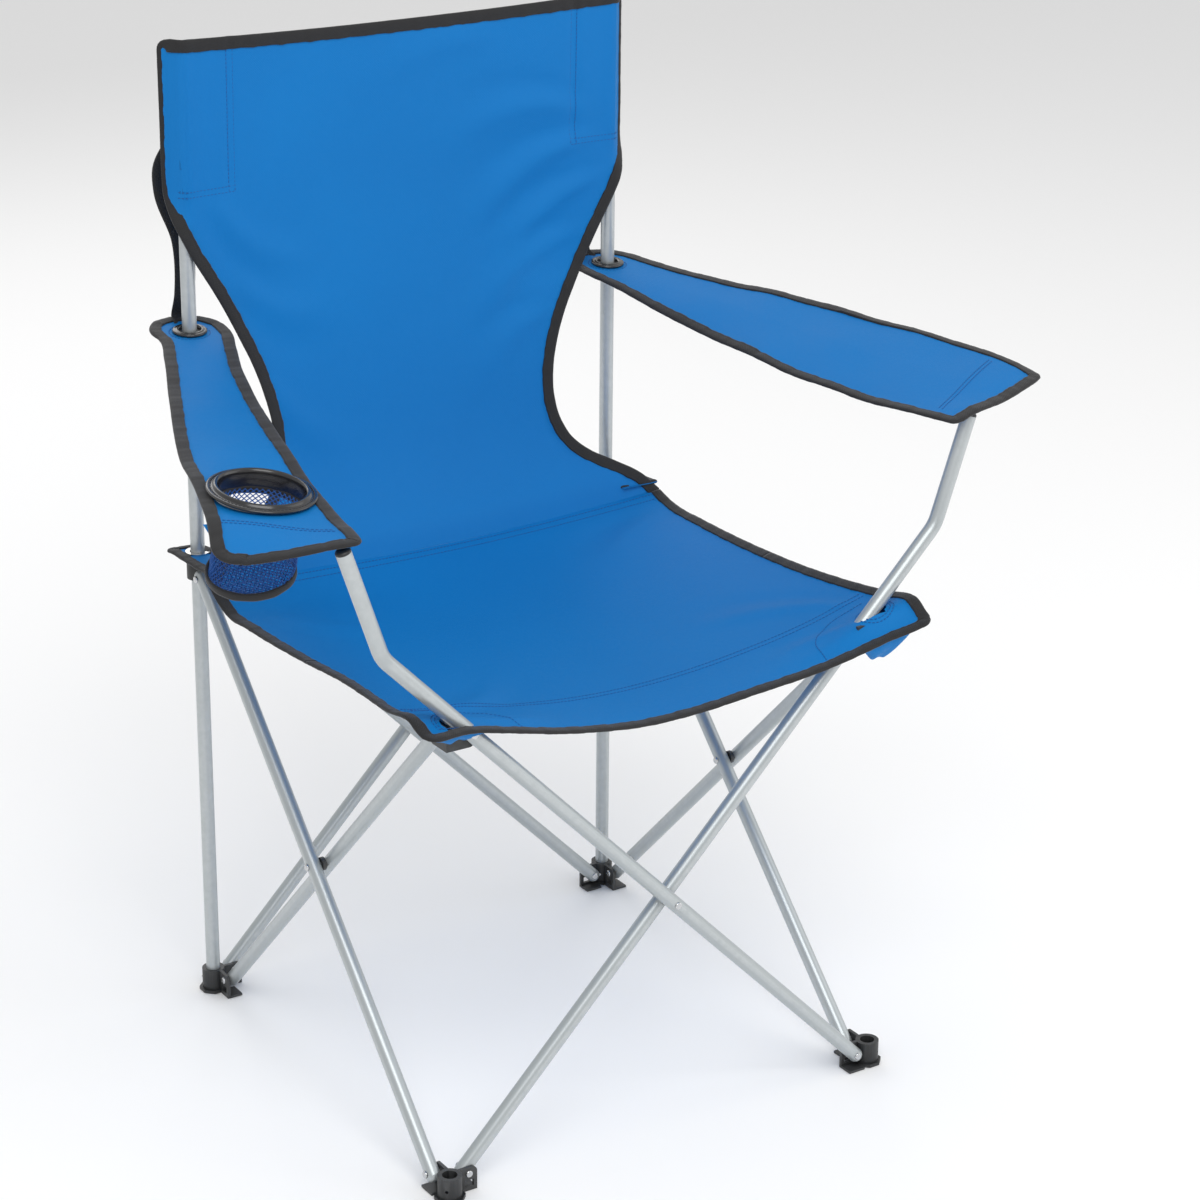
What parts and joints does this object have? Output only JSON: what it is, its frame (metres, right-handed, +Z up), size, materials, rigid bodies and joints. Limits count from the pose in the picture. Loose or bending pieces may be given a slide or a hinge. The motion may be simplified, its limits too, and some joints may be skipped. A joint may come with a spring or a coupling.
{
  "type": "folding camp chair",
  "caption": "Folding camp chair with scissor legs, a slung cloth seat and back, cloth armrests and a net cup holder.",
  "frame": {"origin": "centre of the chair's footprint on the floor", "axes": "+Z up, -Y the way the sitter faces, +X to the right seen from in front of the chair"},
  "size_m": [0.81, 0.4962, 0.905],
  "materials": {
    "tube": "silver-grey powder coat, satin",
    "hub_plastic": "black moulded plastic, fine texture",
    "trim_plastic": "black moulded plastic, polished",
    "rivet_metal": "bright zinc-plated steel",
    "eyelet_metal": "nickel-plated brass eyelet",
    "webbing": "black polypropylene webbing",
    "pouch_net": "blue polyester net with black tape",
    "blue_cloth": "azure coated polyester, plain weave, black bound edges"
  },
  "bodies": {
    "rear_left_corner": {"rear_left_foot_hub": "hub_plastic", "rear_left_foot_rivets": "rivet_metal", "left_rear_post": "tube", "left_post_cap": "hub_plastic", "left_post_pin": "rivet_metal", "back_panel": "blue_cloth", "left_arm_grommet": "trim_plastic", "left_arm_strap": "webbing"},
    "rear_outer_leg": {"rear_outer_leg": "tube", "rear_centre_rivet": "rivet_metal", "rear_centre_spacer": "hub_plastic"},
    "rear_inner_leg": {"rear_inner_leg": "tube"},
    "rear_right_corner": {"rear_right_foot_hub": "hub_plastic", "rear_right_foot_rivets": "rivet_metal", "right_rear_post": "tube", "right_post_cap": "hub_plastic", "right_post_pin": "rivet_metal", "right_arm_grommet": "trim_plastic", "right_arm_strap": "webbing"},
    "rear_right_slider": {"rear_right_upper_hub": "hub_plastic", "rear_right_upper_rivets": "rivet_metal", "right_seat_ear": "blue_cloth", "right_ear_eyelet": "eyelet_metal"},
    "rear_left_slider": {"rear_left_upper_hub": "hub_plastic", "rear_left_upper_rivets": "rivet_metal", "left_seat_ear": "blue_cloth", "left_ear_eyelet": "eyelet_metal"},
    "left_inner_leg": {"left_inner_leg": "tube"},
    "left_outer_leg": {"left_outer_leg": "tube", "left_centre_rivet": "rivet_metal", "left_centre_spacer": "hub_plastic"},
    "front_left_corner": {"front_left_foot_hub": "hub_plastic", "front_left_foot_rivets": "rivet_metal"},
    "front_left_bracket": {"front_left_upper_hub": "hub_plastic", "front_left_upper_rivets": "rivet_metal", "left_corner_pocket": "blue_cloth"},
    "front_inner_leg": {"front_inner_leg": "tube", "right_support_plug": "hub_plastic"},
    "front_outer_leg": {"front_outer_leg": "tube", "front_centre_rivet": "rivet_metal", "front_centre_spacer": "hub_plastic", "left_support_plug": "hub_plastic"},
    "front_right_corner": {"front_right_foot_hub": "hub_plastic", "front_right_foot_rivets": "rivet_metal"},
    "front_right_bracket": {"front_right_upper_hub": "hub_plastic", "front_right_upper_rivets": "rivet_metal", "right_corner_pocket": "blue_cloth"},
    "right_outer_leg": {"right_outer_leg": "tube", "right_centre_rivet": "rivet_metal", "right_centre_spacer": "hub_plastic"},
    "right_inner_leg": {"right_inner_leg": "tube"},
    "front_seat": {"front_seat_panel": "blue_cloth"},
    "rear_seat": {"rear_seat_panel": "blue_cloth"},
    "left_arm": {"left_armrest": "blue_cloth"},
    "cup_holder": {"cup_ring": "trim_plastic", "cup_pouch": "pouch_net"},
    "right_arm": {"right_armrest": "blue_cloth"}
  },
  "joints": [
    {"name": "fold", "type": "hinge", "parent": "rear_left_corner", "child": "rear_outer_leg", "pos_m": [-0.2, 0.2202, 0.016], "axis": [0, -1, 0], "range_deg": [0, 36], "deforming": ["back_panel", "front_seat_panel", "rear_seat_panel", "left_armrest", "right_armrest", "cup_pouch", "left_seat_ear", "right_seat_ear", "left_corner_pocket", "right_corner_pocket"]},
    {"name": "rear_scissor", "type": "hinge", "parent": "rear_outer_leg", "child": "rear_inner_leg", "pos_m": [0, 0.21185, 0.21904], "axis": [0, 1, 0], "range_deg": [0, 72]},
    {"name": "rear_right_foot_pivot", "type": "hinge", "parent": "rear_inner_leg", "child": "rear_right_corner", "pos_m": [0.2, 0.2035, 0.016], "axis": [0, -1, 0], "range_deg": [0, 36]},
    {"name": "rear_right_upper_pivot", "type": "hinge", "parent": "rear_outer_leg", "child": "rear_right_slider", "pos_m": [0.2, 0.2202, 0.42208], "axis": [0, 1, 0], "range_deg": [0, 36]},
    {"name": "rear_left_upper_pivot", "type": "hinge", "parent": "rear_inner_leg", "child": "rear_left_slider", "pos_m": [-0.2, 0.2035, 0.42208], "axis": [0, -1, 0], "range_deg": [0, 36]},
    {"name": "left_foot_pivot", "type": "hinge", "parent": "rear_left_corner", "child": "left_inner_leg", "pos_m": [-0.2085, 0.195, 0.016], "axis": [-1, 0, 0], "range_deg": [0, 36]},
    {"name": "left_scissor", "type": "hinge", "parent": "left_inner_leg", "child": "left_outer_leg", "pos_m": [-0.21685, -0.005, 0.21904], "axis": [1, 0, 0], "range_deg": [0, 72]},
    {"name": "front_left_foot_pivot", "type": "hinge", "parent": "left_outer_leg", "child": "front_left_corner", "pos_m": [-0.2252, -0.205, 0.016], "axis": [-1, 0, 0], "range_deg": [0, 36]},
    {"name": "front_left_upper_pivot", "type": "hinge", "parent": "left_inner_leg", "child": "front_left_bracket", "pos_m": [-0.2085, -0.205, 0.42208], "axis": [1, 0, 0], "range_deg": [0, 36]},
    {"name": "front_foot_pivot", "type": "hinge", "parent": "front_left_corner", "child": "front_inner_leg", "pos_m": [-0.2, -0.2135, 0.016], "axis": [0, -1, 0], "range_deg": [0, 36]},
    {"name": "front_scissor", "type": "hinge", "parent": "front_inner_leg", "child": "front_outer_leg", "pos_m": [0, -0.22185, 0.21904], "axis": [0, 1, 0], "range_deg": [0, 72]},
    {"name": "front_right_foot_pivot", "type": "hinge", "parent": "front_outer_leg", "child": "front_right_corner", "pos_m": [0.2, -0.2302, 0.016], "axis": [0, -1, 0], "range_deg": [0, 36]},
    {"name": "front_right_upper_pivot", "type": "hinge", "parent": "front_inner_leg", "child": "front_right_bracket", "pos_m": [0.2, -0.2135, 0.42208], "axis": [0, 1, 0], "range_deg": [0, 36]},
    {"name": "right_foot_pivot", "type": "hinge", "parent": "rear_right_corner", "child": "right_outer_leg", "pos_m": [0.2252, 0.195, 0.016], "axis": [-1, 0, 0], "range_deg": [0, 36]},
    {"name": "right_scissor", "type": "hinge", "parent": "right_outer_leg", "child": "right_inner_leg", "pos_m": [0.21685, -0.005, 0.21904], "axis": [1, 0, 0], "range_deg": [0, 72]},
    {"name": "front_seat_fold", "type": "hinge", "parent": "front_left_bracket", "child": "front_seat", "pos_m": [0, -0.2245, 0.434], "axis": [-1, 0, 0], "range_deg": [0, 55.1]},
    {"name": "rear_seat_fold", "type": "hinge", "parent": "rear_left_slider", "child": "rear_seat", "pos_m": [0, 0.153, 0.4415], "axis": [1, 0, 0], "range_deg": [0, 83.64]},
    {"name": "left_arm_swing", "type": "hinge", "parent": "rear_left_corner", "child": "left_arm", "pos_m": [-0.2195, 0.2145, 0.6435], "axis": [-0.923, 0.1559, 0.3519], "range_deg": [0, 57.67]},
    {"name": "cup_gather", "type": "slide", "parent": "left_arm", "child": "cup_holder", "axis": [0.2017, 0.9746, 0.0971], "range_m": [0, 0.20165]},
    {"name": "right_arm_swing", "type": "hinge", "parent": "rear_right_corner", "child": "right_arm", "pos_m": [0.2195, 0.2145, 0.6435], "axis": [-0.9258, -0.1638, -0.3407], "range_deg": [0, 61.8]}
  ],
  "couplings": [
    {"joint": "rear_scissor", "follows": "fold", "ratio": 2},
    {"joint": "rear_right_foot_pivot", "follows": "fold", "ratio": 1},
    {"joint": "rear_right_upper_pivot", "follows": "fold", "ratio": 1},
    {"joint": "rear_left_upper_pivot", "follows": "fold", "ratio": 1},
    {"joint": "left_foot_pivot", "follows": "fold", "ratio": 1},
    {"joint": "left_scissor", "follows": "fold", "ratio": 2},
    {"joint": "front_left_foot_pivot", "follows": "fold", "ratio": 1},
    {"joint": "front_left_upper_pivot", "follows": "fold", "ratio": 1},
    {"joint": "front_foot_pivot", "follows": "fold", "ratio": 1},
    {"joint": "front_scissor", "follows": "fold", "ratio": 2},
    {"joint": "front_right_foot_pivot", "follows": "fold", "ratio": 1},
    {"joint": "front_right_upper_pivot", "follows": "fold", "ratio": 1},
    {"joint": "right_foot_pivot", "follows": "fold", "ratio": 1},
    {"joint": "right_scissor", "follows": "fold", "ratio": 2},
    {"joint": "front_seat_fold", "follows": "fold", "ratio": 1.5305},
    {"joint": "rear_seat_fold", "follows": "fold", "ratio": 2.3234},
    {"joint": "left_arm_swing", "follows": "fold", "ratio": 1.602},
    {"joint": "cup_gather", "follows": "fold", "m_per_rad": 0.32093},
    {"joint": "right_arm_swing", "follows": "fold", "ratio": 1.7167}
  ]
}
